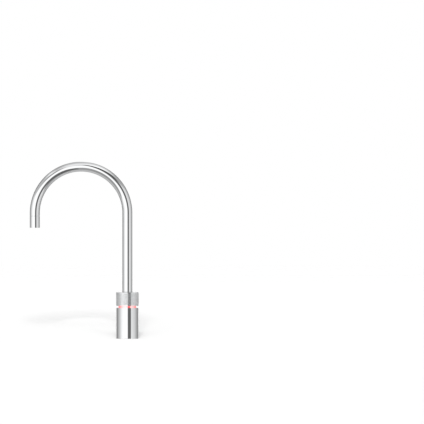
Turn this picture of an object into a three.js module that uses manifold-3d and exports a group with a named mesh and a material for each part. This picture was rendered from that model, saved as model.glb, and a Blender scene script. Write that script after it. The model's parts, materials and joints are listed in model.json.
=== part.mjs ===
// A boiling water tap: a gooseneck spout that swivels in a round casing, a knurled ring that is pushed
// down and turned to open a spring-closed valve, a lit ring between the two, and the threaded shank
// that holds the tap in a worktop.
//
// Millimetres, +Z up. The origin is on the tap's axis at the worktop's surface. The spout reaches
// along -X, and the valve sits on the +X side of the axis.
//
// Pieces are nested from the spout outwards and stacked from the worktop upwards. Each wall, height
// and clearance is named once here, and every radius and level below is their sum.

import * as THREE from "three";
import { mergeVertices } from "three/addons/utils/BufferGeometryUtils.js";
import Module from "manifold-3d";

const wasm = await Module();
wasm.setup();

// ---------------------------------------------------------------- driving dimensions

// Clearances.
const FIT = 0.3; // between pieces that seat in or on each other
const RUN = 0.4; // around a piece that turns or slides
const SNUG = 0.1; // around a soft ring in its groove, and under a soldered piece
const BUSH_FIT = 0.15; // between a bearing bush and what it guides
const SEAM = 0.2; // the fine line where the nozzle meets the spout
const EDGE = 0.4; // chamfer on a turned edge

// Spout.
const SPOUT_R = 7.3;
const SPOUT_WALL = 1.2;
const ARCH_R = 67; // centreline radius of the half circle
const ARCH_Z = 182; // height of the half circle's centre
const PAST_ARCH = 0.8; // straight run between the half circle and the nozzle's neck
const COLLAR_WALL = 0.6; // ring brazed round the spout's foot
const COLLAR_HEIGHT = 2.2;

// Water hose and its insulation inside the spout.
const HOSE_R = 3;
const HOSE_WALL = 1;
const HOSE_END_HEIGHT = 6; // plug that carries the hose's lower end

// Nozzle.
const NOZZLE_LENGTH = 16.9;
const NOZZLE_WALL = 1.5;
const NECK_LENGTH = 3.8; // the part of the nozzle inside the spout
const NECK_WALL = 1.2;
const NECK_GROOVE_DEPTH = 0.6;
const NOZZLE_BUSH_HEIGHT = 7;
const NOZZLE_BUSH_LIFT = 1; // above the flow straightener's shoulder

// Flow straightener in the nozzle's mouth.
const STRAIGHTENER_HEIGHT = 6;
const STRAIGHTENER_RECESS = 0.8;
const STRAIGHTENER_HOLE_R = 0.75;
const STRAIGHTENER_PITCH = 2.05;
const STRAIGHTENER_RINGS = 2;

// Walls of what is nested round the spout, from the inside out.
const CAM_WALL = 1.4;
const BOSS_WALL = 1.4;
const LIGHT_WALL = 1.7;
const LIP_WIDTH = 1;
const CASING_WALL = 1.8;

// Casing and base.
const GASKET_HEIGHT = 1.2;
const BASE_RING_HEIGHT = 3;
const LIP_HEIGHT = 2;

// Valve housing.
const SOCKET_WALL = 1.6; // round the shank's socket
const SOCKET_DEPTH = 5.5;
const PIPE_SOCKET_DEPTH = 4.7;
const CHAMBER_R = 2.8;
const CHAMBER_WALL = 1.1; // between the valve's chamber and the block's rim
const DRILLING_R = 1.2;
const SEAT_R = 1.55;
const SEAT_HEIGHT = 1.3;
const OUTFLOW_R = 2.3; // chamber above the seat
const OUTFLOW_HEIGHT = 3.5;
const GUIDE_HEIGHT = 1.9;
const GLAND_R = 2.3;
const GLAND_BUSH_HEIGHT = 1.1;
const CABLE_R = 1.5; // way of the light's cable
const CABLE_PLACE = 7.5; // its distance from the axis
const CABLE_GROOVE = 2; // depth of its groove across the top of the block

// Valve.
const PLUG_HEIGHT = 1.7;
const VALVE_SPRING_HEIGHT = 4.9;
const VALVE_SPRING_WIRE = 0.5;
const VALVE_SPRING_TURNS = 4;
const POPPET_R = 2.2;
const POPPET_HEIGHT = 1.8;
const SEAL_HEIGHT = 0.8;
const PIN_R = 1;
const PIN_PROUD = 3; // above the housing when the valve is shut
const VALVE_TRAVEL = 1.5;

// Riser: the fixed water pipe that the spout turns on.
const RISER_R = 5;
const RISER_BORE_R = 2.6;
const RISER_SPIGOT_R = 4;
const BUSH_HEIGHT = 6;
const LAND = 1.6; // plain length beside each groove and bush
const GROOVE_DEPTH = 0.6;
const GROOVE_WIDTH = 1.9;
const THRUST_WASHER_HEIGHT = 0.7;

// Cam sleeve, which the knob turns.
const CAM_FLANGE_HEIGHT = 2.9;
const CAM_DWELL_DEGREES = 15; // level stretch past the ramp's deep end
const TURN_DEGREES = 90;
const LUG_DEGREES = 135; // where the stop lug stands when the valve is shut
const LUG_WIDTH_DEGREES = 14;
const LUG_SLACK_DEGREES = 2;
const SPLINES = 6;
const SPLINE_DEPTH = 0.8;
const SPLINE_WIDTH = 2.4;
const CLIP_HEIGHT = 0.8;
const CLIP_LAND = 1.1; // plain length of the sleeve above the clip
const CLIP_WIDTH = 1.7;
const CLIP_GROOVE_DEPTH = 0.7;
const CLIP_OPENING_DEGREES = 60;

// Bearing deck, light board and light ring.
const DECK_HEIGHT = 1.7;
const SKIRT_WALL = 1;
const BOSS_HEIGHT = 4; // above the deck
const CABLE_NOTCH = 1.2; // depth of the deck's notch for the light's cable
const BOARD_HEIGHT = 1.2;
const LED_LENGTH = 2;
const LED_WIDTH = 1.4;
const LED_HEIGHT = 0.8;
const LED_COUNT = 4;
const CONNECTOR_LENGTH = 3.2;
const LIGHT_FLANGE_HEIGHT = 1.3;
const LIGHT_RISE = 9; // height of the light ring, flange included

// Knob.
const PUSH_TRAVEL = 2.5;
const KNOB_PROUD = 0.35; // how far it stands out past the casing
const KNOB_GAP = 3; // above the casing, where the light shows
const KNOB_HEIGHT = 19.4;
const KNOB_TOP = 2.2; // thickness of its top
const KNOB_BAND = 1; // plain band above and below the knurl
const KNURL_DEPTH = 0.45;
const KNURL_COLUMNS = 60;
const KNURL_ROWS = 8;
const GUIDE_RING_WALL = 0.9;
const GUIDE_RING_HEIGHT = 1.2;

// Return spring under the knob.
const RETURN_WIRE = 0.9;
const RETURN_TURNS = 4.5;
const SPRING_WASHER_HEIGHT = 0.8;

// Below the worktop.
const SHANK_WALL = 2.5;
const SHANK_BELOW = 62; // length of the shank under the worktop's surface
const SHANK_PLAIN = 1.5; // how much of that has no thread
const SHANK_PITCH = 2;
const THREAD_DEPTH = 0.75;
const WORKTOP = 30; // thickness of the worktop
const CLAMP_R = 19;
const CLAMP_GASKET_HEIGHT = 3;
const CLAMP_WASHER_HEIGHT = 2;
const NUT_FLATS = 32;
const NUT_HEIGHT = 8;
const SHANK_BUSH_HEIGHT = 6;
const SHANK_BUSH_FLANGE = 2;
const PIPE_R = 4;
const PIPE_WALL = 1.6;
const PIPE_BELOW_SHANK = 22;
const NIPPLE_R = 8.3;
const NIPPLE_THREAD_LENGTH = 8;
const NIPPLE_PITCH = 1.34;
const NIPPLE_FLATS = 19;
const NIPPLE_HEX_HEIGHT = 6;
const NIPPLE_SOCKET_DEPTH = 4;

// Facets round a piece.
const FINE = 48;
const PLAIN = 24;
const TUBE = 20;
const SMALL = 12;
const HOSE = 6;
const CAM_STEPS = 32;
const ARCH_STEPS = 20;
const COIL_STEPS = 12; // in one turn of a spring
const ARC_STEP_DEGREES = 12; // along an arc that isn't a full circle
const CUT_PAST = 0.5; // how far a cutting tool runs past the face that it opens

// ---------------------------------------------------------------- radii, from the axis out

const spoutBoreR = SPOUT_R - SPOUT_WALL;
const collarBoreR = SPOUT_R + FIT;
const collarR = collarBoreR + COLLAR_WALL;
const camBoreR = SPOUT_R + RUN;
const camR = camBoreR + CAM_WALL;
const bossBoreR = camR + RUN;
const bossR = bossBoreR + BOSS_WALL;
const lightBoreR = bossR + FIT;
const lightR = lightBoreR + LIGHT_WALL;
const lipR = lightR + FIT;
const casingBoreR = lipR + LIP_WIDTH;
const casingR = casingBoreR + CASING_WALL;
const innerR = casingBoreR - FIT; // the widest piece inside the casing
const knobR = casingR + KNOB_PROUD;
const knobBoreR = lightR + RUN;
const socketR = innerR - SOCKET_WALL;
const shankR = socketR - FIT;
const shankBoreR = shankR - SHANK_WALL;
const valveX = innerR - CHAMBER_WALL - CHAMBER_R; // the valve's own axis
const outletX = -2 * ARCH_R;

// ---------------------------------------------------------------- levels, from the worktop up

// Valve housing, and the valve in it from the shank's socket up.
const baseRingZ = GASKET_HEIGHT + FIT;
const housingZ = baseRingZ + BASE_RING_HEIGHT + FIT;
const socketTopZ = housingZ + SOCKET_DEPTH;
const pipeSocketTopZ = socketTopZ + PIPE_SOCKET_DEPTH;
const inflowZ = pipeSocketTopZ + DRILLING_R + FIT;
const plugTopZ = socketTopZ + PLUG_HEIGHT;
const poppetZ = plugTopZ + FIT + VALVE_SPRING_HEIGHT + FIT;
const poppetTopZ = poppetZ + POPPET_HEIGHT;
const sealZ = poppetTopZ + FIT;
const seatZ = sealZ + SEAL_HEIGHT + FIT;
const seatTopZ = seatZ + SEAT_HEIGHT;
const outflowZ = seatTopZ + DRILLING_R + FIT;
const riserSocketZ = outflowZ + DRILLING_R + FIT;
const guideZ = seatTopZ + OUTFLOW_HEIGHT;
const glandZ = guideZ + GUIDE_HEIGHT;
const glandRingR = (GLAND_R - PIN_R) / 2 - SNUG;
const glandBushZ = glandZ + SNUG + 2 * glandRingR + FIT;
const housingTopZ = glandBushZ + GLAND_BUSH_HEIGHT;
const pinTopZ = housingTopZ + PIN_PROUD;

// Riser and spout foot.
const riserZ = housingTopZ + FIT;
const footZ = riserZ + THRUST_WASHER_HEIGHT + FIT;
const collarTopZ = footZ + COLLAR_HEIGHT;
const lowerBushZ = footZ;
const lowerGrooveZ = lowerBushZ + BUSH_HEIGHT + LAND;
const upperGrooveZ = lowerGrooveZ + GROOVE_WIDTH + LAND;
const upperBushZ = upperGrooveZ + GROOVE_WIDTH + LAND;
const riserTopZ = upperBushZ + BUSH_HEIGHT + LAND;
const hoseEndZ = riserTopZ + RUN;

// Cam flange, deck, light and casing.
const camZ = pinTopZ + FIT;
const camFlangeTopZ = camZ + CAM_FLANGE_HEIGHT;
const deckZ = camFlangeTopZ + RUN;
const deckTopZ = deckZ + DECK_HEIGHT;
const bossTopZ = deckTopZ + BOSS_HEIGHT;
const boardZ = deckTopZ + FIT;
const ledZ = boardZ + BOARD_HEIGHT + SNUG;
const lightZ = ledZ + LED_HEIGHT + FIT;
const lipZ = lightZ + LIGHT_FLANGE_HEIGHT + FIT;
const casingTopZ = lipZ + LIP_HEIGHT;
const lightTopZ = lightZ + LIGHT_RISE;

// Knob and what it slides on.
const knobZ = casingTopZ + KNOB_GAP;
const knobTopZ = knobZ + KNOB_HEIGHT;
const knobWebZ = knobTopZ - KNOB_TOP;
const springWasherZ = bossTopZ + FIT;
const returnSpringZ = springWasherZ + SPRING_WASHER_HEIGHT + SNUG;
const camTopZ = knobWebZ - PUSH_TRAVEL - RUN;
const clipZ = camTopZ - CLIP_LAND - CLIP_HEIGHT;
const carrierLedgeZ = clipZ - FIT;
const carrierZ = lightTopZ + PUSH_TRAVEL + RUN;

// Nozzle, from the half circle's end down.
const neckTopZ = ARCH_Z - PAST_ARCH;
const nozzleTopZ = neckTopZ - NECK_LENGTH;
const outletZ = nozzleTopZ - NOZZLE_LENGTH;
const straightenerZ = outletZ + STRAIGHTENER_RECESS;
const shoulderZ = straightenerZ + STRAIGHTENER_HEIGHT + FIT;
const nozzleBushZ = shoulderZ + NOZZLE_BUSH_LIFT;

// Below the worktop.
const clampWasherTopZ = -WORKTOP - CLAMP_GASKET_HEIGHT - FIT;
const nutTopZ = clampWasherTopZ - CLAMP_WASHER_HEIGHT - FIT;
const shankTopZ = socketTopZ - FIT;
const pipeEndZ = -SHANK_BELOW - PIPE_BELOW_SHANK;
const nippleTopZ = pipeEndZ + NIPPLE_SOCKET_DEPTH;
const nippleHexZ = nippleTopZ - NIPPLE_HEX_HEIGHT;
const nippleEndZ = nippleHexZ - NIPPLE_THREAD_LENGTH;

// ---------------------------------------------------------------- solids

// A closed outline of [radius, height] points, turned round the Z axis.
function turned(outline, sides = PLAIN) {
  const points = outline.map(([r, z]) => new THREE.Vector2(r, z));
  if (THREE.ShapeUtils.area(points) < 0) points.reverse();
  if (!outline.some(([r]) => r === 0)) points.push(points[0].clone());
  return new THREE.LatheGeometry(points, sides).rotateX(Math.PI / 2);
}

// An outline that changes as it is turned: outlineAt(step) gives its points, counterclockwise with
// the radius to the right and the height up. The first and the last step meet at angle 0, and points
// that coincide there or in an outline become one. The quads' diagonals alternate, so that where odd
// and even points differ in radius each high point becomes a four-sided pyramid.
function turnedInSteps(outlineAt, steps) {
  const positions = [];
  const index = [];
  const count = outlineAt(0).length;
  for (let i = 0; i <= steps; i++) {
    const angle = (2 * Math.PI * i) / steps;
    outlineAt(i).forEach(([r, z]) => positions.push(r * Math.cos(angle), r * Math.sin(angle), z));
  }
  for (let i = 0; i < steps; i++) {
    for (let j = 0; j < count; j++) {
      const k = (j + 1) % count;
      const [a, b, c, d] = [i * count + j, (i + 1) * count + j, (i + 1) * count + k, i * count + k];
      index.push(...((i + j) % 2 === 0 ? [a, b, d, b, c, d] : [a, b, c, a, c, d]));
    }
  }
  const geometry = new THREE.BufferGeometry().setIndex(index);
  geometry.setAttribute("position", new THREE.Float32BufferAttribute(positions, 3));
  return geometryOf(solidOf(geometry));
}

// The outer points of a screw thread after a share of a turn, from its lower end up. A turn later
// each point has reached the place of the one a whole pitch above it.
function threadPoints(crestR, pitch, z0, z1, turn) {
  const count = 2 * Math.ceil((z1 - z0) / pitch + 1) + 1;
  return Array.from({ length: count }, (_, i) => {
    const z = z0 + pitch * (i / 2 - 1 + turn);
    const onCrest = i % 2 === 1 && z > z0 && z < z1;
    return [onCrest ? crestR : crestR - THREAD_DEPTH, THREE.MathUtils.clamp(z, z0, z1)];
  });
}

function ring(boreR, outerR, z0, z1, sides = PLAIN) {
  return turned([[boreR, z0], [outerR, z0], [outerR, z1], [boreR, z1]], sides);
}

function rod(radius, z0, z1, sides = SMALL) {
  return new THREE.CylinderGeometry(radius, radius, z1 - z0, sides)
    .rotateX(Math.PI / 2)
    .translate(0, 0, (z0 + z1) / 2);
}

// A rod along X, from x0 to x1.
function crossRod(radius, x0, x1, z) {
  return new THREE.CylinderGeometry(radius, radius, x1 - x0, SMALL)
    .rotateZ(Math.PI / 2)
    .translate((x0 + x1) / 2, 0, z);
}

function hexPrism(flats, z0, z1) {
  return rod(flats / Math.sqrt(3), z0, z1, 6);
}

function block([x0, x1], [y0, y1], [z0, z1]) {
  return new THREE.BoxGeometry(x1 - x0, y1 - y0, z1 - z0)
    .translate((x0 + x1) / 2, (y0 + y1) / 2, (z0 + z1) / 2);
}

function softRing(meanR, sectionR, z, sides = TUBE) {
  return new THREE.TorusGeometry(meanR, sectionR, 5, sides).translate(0, 0, z);
}

// Part of a ring, from one angle to another.
function sector([boreR, outerR], [fromDegrees, toDegrees], [z0, z1]) {
  const from = THREE.MathUtils.degToRad(fromDegrees);
  const to = THREE.MathUtils.degToRad(toDegrees);
  const shape = new THREE.Shape();
  shape.absarc(0, 0, outerR, from, to, false);
  shape.absarc(0, 0, boreR, to, from, true);
  const curveSegments = Math.ceil((toDegrees - fromDegrees) / (2 * ARC_STEP_DEGREES));
  const options = { depth: z1 - z0, bevelEnabled: false, curveSegments };
  return new THREE.ExtrudeGeometry(shape, options).translate(0, 0, z0);
}

function circle(radius, sides, x = 0, y = 0) {
  return Array.from({ length: sides }, (_, i) => {
    const angle = (2 * Math.PI * i) / sides;
    return new THREE.Vector2(x + radius * Math.cos(angle), y + radius * Math.sin(angle));
  });
}

// Copies of a geometry, evenly spaced round the Z axis.
function around(count, geometry) {
  return Array.from({ length: count }, (_, i) => geometry.clone().rotateZ((2 * Math.PI * i) / count));
}

function solidOf(geometry) {
  const bare = new THREE.BufferGeometry().setAttribute("position", geometry.getAttribute("position"));
  bare.setIndex(geometry.index);
  const merged = mergeVertices(bare, 1e-4);
  const corners = merged.index.array;
  const triVerts = [];
  for (let i = 0; i < corners.length; i += 3) {
    const [a, b, c] = corners.slice(i, i + 3);
    if (a !== b && b !== c && c !== a) triVerts.push(a, b, c);
  }
  return new wasm.Manifold(
    new wasm.Mesh({
      numProp: 3,
      vertProperties: new Float32Array(merged.attributes.position.array),
      triVerts: new Uint32Array(triVerts),
    }),
  );
}

function geometryOf(solid) {
  const mesh = solid.getMesh();
  return new THREE.BufferGeometry()
    .setAttribute("position", new THREE.BufferAttribute(mesh.vertProperties, 3))
    .setIndex(new THREE.BufferAttribute(mesh.triVerts, 1));
}

function joined(first, ...others) {
  return geometryOf(others.reduce((solid, other) => solid.add(solidOf(other)), solidOf(first)));
}

function cut(first, ...tools) {
  return geometryOf(tools.reduce((solid, tool) => solid.subtract(solidOf(tool)), solidOf(first)));
}

// ---------------------------------------------------------------- solids along a line

// Up a straight leg, over the half circle and down the outlet's leg. Each leg is one step and the
// rest are on the half circle, so every piece inside the spout shares the spout's facets.
class SpoutLine extends THREE.Curve {
  constructor(startZ, endZ) {
    super();
    this.startZ = startZ;
    this.endZ = endZ;
  }

  static steps = ARCH_STEPS + 2;

  getPointAt(u, target = new THREE.Vector3()) {
    const station = u * SpoutLine.steps - 1;
    if (station <= 0) return target.set(0, 0, THREE.MathUtils.lerp(ARCH_Z, this.startZ, -station));
    const past = station - ARCH_STEPS;
    if (past >= 0) return target.set(outletX, 0, THREE.MathUtils.lerp(ARCH_Z, this.endZ, past));
    const angle = (Math.PI * station) / ARCH_STEPS;
    return target.set(ARCH_R * (Math.cos(angle) - 1), 0, ARCH_Z + ARCH_R * Math.sin(angle));
  }

  getTangentAt(u, target = new THREE.Vector3()) {
    const share = (u * SpoutLine.steps - 1) / ARCH_STEPS;
    const angle = Math.PI * THREE.MathUtils.clamp(share, 0, 1);
    return target.set(-Math.sin(angle), 0, Math.cos(angle));
  }
}

function alongSpout(radius, boreR, startZ, endZ, sides) {
  const section = new THREE.Shape(circle(radius, sides));
  section.holes.push(new THREE.Path(circle(boreR, sides)));
  return new THREE.ExtrudeGeometry(section, {
    steps: SpoutLine.steps,
    extrudePath: new SpoutLine(startZ, endZ),
    bevelEnabled: false,
  });
}

class Helix extends THREE.Curve {
  constructor(radius, turns, z0, z1) {
    super();
    Object.assign(this, { radius, turns, z0, z1 });
  }

  getPoint(t, target = new THREE.Vector3()) {
    const angle = 2 * Math.PI * this.turns * t;
    const z = THREE.MathUtils.lerp(this.z0, this.z1, t);
    return target.set(this.radius * Math.cos(angle), this.radius * Math.sin(angle), z);
  }
}

// A round wire wound between z0 and z1.
function coilSpring(meanR, wire, turns, z0, z1) {
  return new THREE.ExtrudeGeometry(new THREE.Shape(circle(wire / 2, 5)), {
    steps: Math.round(turns * COIL_STEPS),
    extrudePath: new Helix(meanR, turns, z0 + wire / 2, z1 - wire / 2),
    bevelEnabled: false,
  });
}

// ---------------------------------------------------------------- materials and assembly

const CHROME = { color: 0xe6e8e8, roughness: 0.05, metalness: 1 };
const KNURLED_CHROME = { color: 0xdcdede, roughness: 0.22, metalness: 1 };
const BRASS = { color: 0xc9a24a, roughness: 0.3, metalness: 1 };
const STEEL = { color: 0xb9bdc0, roughness: 0.3, metalness: 1 };
const RUBBER = { color: 0x1c1c1e, roughness: 0.8, metalness: 0 };
const BLACK_PLASTIC = { color: 0x202124, roughness: 0.5, metalness: 0 };
const WHITE_PLASTIC = { color: 0xe9e9e4, roughness: 0.45, metalness: 0 };
const SILICONE = { color: 0xd8d2c4, roughness: 0.6, metalness: 0 };
const FOAM = { color: 0x8b8f94, roughness: 0.9, metalness: 0 };
const BOARD = { color: 0x1d5b37, roughness: 0.45, metalness: 0.1 };
const LIT_PLASTIC = { color: 0xff6a5e, roughness: 0.15, metalness: 0, emissive: 0xff2a1c };
const LED = { color: 0xf4e7a8, roughness: 0.4, metalness: 0, emissive: 0xff2a1c };

const tap = new THREE.Group();
const valveAxis = new THREE.Group();
valveAxis.position.x = valveX;
const outletAxis = new THREE.Group();
outletAxis.position.x = outletX;
tap.add(valveAxis, outletAxis);

function piece(name, geometry, look, group = tap) {
  const mesh = new THREE.Mesh(geometry, new THREE.MeshStandardMaterial(look));
  mesh.name = name;
  group.add(mesh);
  return mesh;
}

// ---------------------------------------------------------------- casing and base

piece(
  "casing",
  turned(
    [
      [casingBoreR, 0],
      [casingR - EDGE, 0],
      [casingR, EDGE],
      [casingR, casingTopZ - EDGE],
      [casingR - EDGE, casingTopZ],
      [lipR, casingTopZ],
      [lipR, lipZ],
      [casingBoreR, lipZ],
    ],
    FINE,
  ),
  CHROME,
);

piece("base_gasket", ring(socketR, innerR, 0, GASKET_HEIGHT), RUBBER);
piece("base_ring", ring(socketR, innerR, baseRingZ, baseRingZ + BASE_RING_HEIGHT), BRASS);

// ---------------------------------------------------------------- valve housing

// A brass block with a socket for the shank and one for the inlet pipe in its underside, and one for
// the riser in its top. The valve's chamber, seat and gland lie one above the other beside them. One
// drilling leads the water from the pipe to the chamber, and another from above the seat to the riser.
function valveHousing() {
  const under = housingZ - CUT_PAST;
  const over = housingTopZ + CUT_PAST;
  const onValve = (radius, z0, z1) => rod(radius, z0, z1).translate(valveX, 0, 0);
  return cut(
    rod(innerR, housingZ, housingTopZ, FINE),
    rod(socketR, under, socketTopZ, PLAIN),
    rod(PIPE_R + FIT, under, pipeSocketTopZ),
    rod(RISER_BORE_R, under, inflowZ + DRILLING_R),
    crossRod(DRILLING_R, 0, valveX, inflowZ),
    onValve(CHAMBER_R, socketTopZ - SNUG, seatZ),
    onValve(SEAT_R, seatZ - CUT_PAST, seatTopZ + CUT_PAST),
    onValve(OUTFLOW_R, seatTopZ, guideZ),
    onValve(PIN_R + FIT, guideZ - CUT_PAST, over),
    onValve(GLAND_R, glandZ, over),
    crossRod(DRILLING_R, 0, valveX, outflowZ),
    rod(RISER_BORE_R, outflowZ - DRILLING_R, over),
    rod(RISER_SPIGOT_R + FIT, riserSocketZ, over),
    rod(CABLE_R, under, over).translate(0, CABLE_PLACE, 0),
    block([-CABLE_R, CABLE_R], [CABLE_PLACE, innerR + CUT_PAST], [housingTopZ - CABLE_GROOVE, over]),
  );
}

piece("valve_housing", valveHousing(), BRASS);

// ---------------------------------------------------------------- valve

piece("valve_plug", rod(CHAMBER_R - FIT, socketTopZ, plugTopZ), BRASS, valveAxis);

const valveSpringR = CHAMBER_R - FIT - VALVE_SPRING_WIRE / 2;
piece(
  "valve_spring",
  coilSpring(valveSpringR, VALVE_SPRING_WIRE, VALVE_SPRING_TURNS, plugTopZ + FIT, poppetZ - FIT),
  STEEL,
  valveAxis,
);

// The pin's head closes the seat from below, and its top stands under the cam.
piece(
  "valve_pin",
  turned(
    [
      [0, poppetZ],
      [POPPET_R, poppetZ],
      [POPPET_R, poppetTopZ],
      [PIN_R, poppetTopZ],
      [PIN_R, pinTopZ - EDGE],
      [PIN_R - EDGE, pinTopZ],
      [0, pinTopZ],
    ],
    SMALL,
  ),
  STEEL,
  valveAxis,
);

piece("valve_seal", ring(PIN_R + SNUG, POPPET_R, sealZ, sealZ + SEAL_HEIGHT, SMALL), RUBBER, valveAxis);

const glandRingZ = glandZ + SNUG + glandRingR;
piece("gland_o_ring", softRing((PIN_R + GLAND_R) / 2, glandRingR, glandRingZ, SMALL), RUBBER, valveAxis);

piece(
  "gland_bush",
  ring(PIN_R + FIT, GLAND_R - FIT, glandBushZ, housingTopZ, SMALL),
  BLACK_PLASTIC,
  valveAxis,
);

// ---------------------------------------------------------------- riser

function grooveIn(radius, depth, z0, width) {
  return [[radius, z0], [radius - depth, z0], [radius - depth, z0 + width], [radius, z0 + width]];
}

piece(
  "riser_tube",
  turned(
    [
      [RISER_BORE_R, riserSocketZ + FIT],
      [RISER_SPIGOT_R, riserSocketZ + FIT],
      [RISER_SPIGOT_R, riserZ],
      [RISER_R, riserZ],
      ...grooveIn(RISER_R, GROOVE_DEPTH, lowerGrooveZ, GROOVE_WIDTH),
      ...grooveIn(RISER_R, GROOVE_DEPTH, upperGrooveZ, GROOVE_WIDTH),
      [RISER_R, riserTopZ - EDGE],
      [RISER_R - EDGE, riserTopZ],
      [RISER_BORE_R, riserTopZ],
    ],
    TUBE,
  ),
  BRASS,
);

const riserGrooveR = RISER_R - GROOVE_DEPTH;
const riserRingR = (spoutBoreR - riserGrooveR) / 2 - SNUG;
for (const [place, z] of [["lower", lowerGrooveZ], ["upper", upperGrooveZ]]) {
  const middleZ = z + GROOVE_WIDTH / 2;
  piece(`riser_o_ring_${place}`, softRing((spoutBoreR + riserGrooveR) / 2, riserRingR, middleZ), RUBBER);
}

for (const [place, z] of [["lower", lowerBushZ], ["upper", upperBushZ]]) {
  const bush = ring(RISER_R + BUSH_FIT, spoutBoreR - BUSH_FIT, z, z + BUSH_HEIGHT, TUBE);
  piece(`${place}_bush`, bush, WHITE_PLASTIC);
}

piece(
  "thrust_washer",
  ring(RISER_R + FIT, collarR, riserZ, riserZ + THRUST_WASHER_HEIGHT),
  WHITE_PLASTIC,
);

// ---------------------------------------------------------------- bearing deck

// A cup over the valve housing. Its boss guides the cam sleeve, its plate holds the cam's flange down
// and carries the light, and a wide gap in its skirt stops the cam's lug at both ends of the turn.
function bearingDeck() {
  const skirtBoreR = innerR - SKIRT_WALL;
  const cup = turned([
    [skirtBoreR, riserZ],
    [innerR, riserZ],
    [innerR, deckTopZ],
    [bossR, deckTopZ],
    [bossR, bossTopZ],
    [bossBoreR, bossTopZ],
    [bossBoreR, deckZ],
    [skirtBoreR, deckZ],
  ]);
  const slack = LUG_WIDTH_DEGREES / 2 + LUG_SLACK_DEGREES;
  const lugWay = sector(
    [skirtBoreR - CUT_PAST, innerR + CUT_PAST],
    [LUG_DEGREES - slack, LUG_DEGREES + TURN_DEGREES + slack],
    [riserZ - CUT_PAST, deckZ],
  );
  const cableWay = block(
    [-CABLE_R, CABLE_R],
    [innerR - CABLE_NOTCH, innerR + CUT_PAST],
    [riserZ - CUT_PAST, deckTopZ + CUT_PAST],
  );
  return cut(cup, lugWay, cableWay);
}

piece("bearing_deck", bearingDeck(), BLACK_PLASTIC);

// ---------------------------------------------------------------- light

const boardBoreR = bossR + FIT;
const boardR = innerR - FIT;
piece("light_board", ring(boardBoreR, boardR, boardZ, boardZ + BOARD_HEIGHT), BOARD);

// What stands on the board, tangent to it, at an angle from the X axis.
function onBoard(name, length, degrees, look) {
  const size = [length, LED_WIDTH, LED_HEIGHT];
  const mesh = piece(name, new THREE.BoxGeometry(...size), look);
  const angle = THREE.MathUtils.degToRad(degrees);
  const middleR = (boardBoreR + boardR) / 2;
  mesh.rotation.z = angle + Math.PI / 2;
  mesh.position.set(middleR * Math.cos(angle), middleR * Math.sin(angle), ledZ + LED_HEIGHT / 2);
}

for (let i = 0; i < LED_COUNT; i++) {
  onBoard(`led_${i + 1}`, LED_LENGTH, (360 * (i + 0.5)) / LED_COUNT, LED);
}
onBoard("board_connector", CONNECTOR_LENGTH, 90, WHITE_PLASTIC);

piece(
  "light_ring",
  turned(
    [
      [lightBoreR, lightZ],
      [innerR, lightZ],
      [innerR, lightZ + LIGHT_FLANGE_HEIGHT],
      [lightR, lightZ + LIGHT_FLANGE_HEIGHT],
      [lightR, lightTopZ],
      [lightBoreR, lightTopZ],
    ],
    FINE,
  ),
  LIT_PLASTIC,
);

// ---------------------------------------------------------------- cam sleeve

// How far the cam's underside has dropped at an angle round it, from -PI to PI. The pin stands at
// angle 0 and the cam turns counterclockwise over it, so the ramp deepens clockwise.
function camDrop(angle) {
  const turn = THREE.MathUtils.degToRad(TURN_DEGREES);
  const dwell = THREE.MathUtils.degToRad(CAM_DWELL_DEGREES);
  if (angle > 0 || angle < -turn - dwell) return 0;
  return VALVE_TRAVEL * Math.min(1, -angle / turn);
}

const camFlangeR = innerR - SKIRT_WALL - RUN;
const camRecessR = collarR + RUN;
const splineR = camR + SPLINE_DEPTH;

function camSleeve() {
  const body = turnedInSteps((step) => {
    const angle = (2 * Math.PI * step) / CAM_STEPS;
    const underZ = camZ - camDrop(angle > Math.PI ? angle - 2 * Math.PI : angle);
    return [
      [camRecessR, underZ],
      [camFlangeR, underZ],
      [camFlangeR, camFlangeTopZ],
      [camR, camFlangeTopZ],
      ...grooveIn(camR, CLIP_GROOVE_DEPTH, clipZ - SNUG, CLIP_HEIGHT + 2 * SNUG),
      [camR, camTopZ],
      [camBoreR, camTopZ],
      [camBoreR, collarTopZ + RUN],
      [camRecessR, collarTopZ + RUN],
    ];
  }, CAM_STEPS);
  const spline = block(
    [camR - CUT_PAST, splineR],
    [-SPLINE_WIDTH / 2, SPLINE_WIDTH / 2],
    [carrierZ, carrierLedgeZ],
  );
  const lug = sector(
    [camFlangeR - CUT_PAST, innerR - FIT],
    [LUG_DEGREES - LUG_WIDTH_DEGREES / 2, LUG_DEGREES + LUG_WIDTH_DEGREES / 2],
    [camZ + FIT, camFlangeTopZ - FIT],
  );
  return joined(body, lug, ...around(SPLINES, spline));
}

piece("cam_sleeve", camSleeve(), WHITE_PLASTIC);

const clipBoreR = camR - CLIP_GROOVE_DEPTH + SNUG;
const clipR = clipBoreR + CLIP_WIDTH;
piece(
  "knob_clip",
  sector(
    [clipBoreR, clipR],
    [CLIP_OPENING_DEGREES / 2, 360 - CLIP_OPENING_DEGREES / 2],
    [clipZ, clipZ + CLIP_HEIGHT],
  ),
  STEEL,
);

piece(
  "spring_washer",
  ring(bossBoreR, bossR, springWasherZ, springWasherZ + SPRING_WASHER_HEIGHT),
  STEEL,
);

const returnSpringR = (camR + lightBoreR) / 2;
piece(
  "return_spring",
  coilSpring(returnSpringR, RETURN_WIRE, RETURN_TURNS, returnSpringZ, carrierZ - FIT),
  STEEL,
);

// ---------------------------------------------------------------- knob

const guideRingBoreR = SPOUT_R + FIT;
const guideRingR = guideRingBoreR + GUIDE_RING_WALL;

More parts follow.
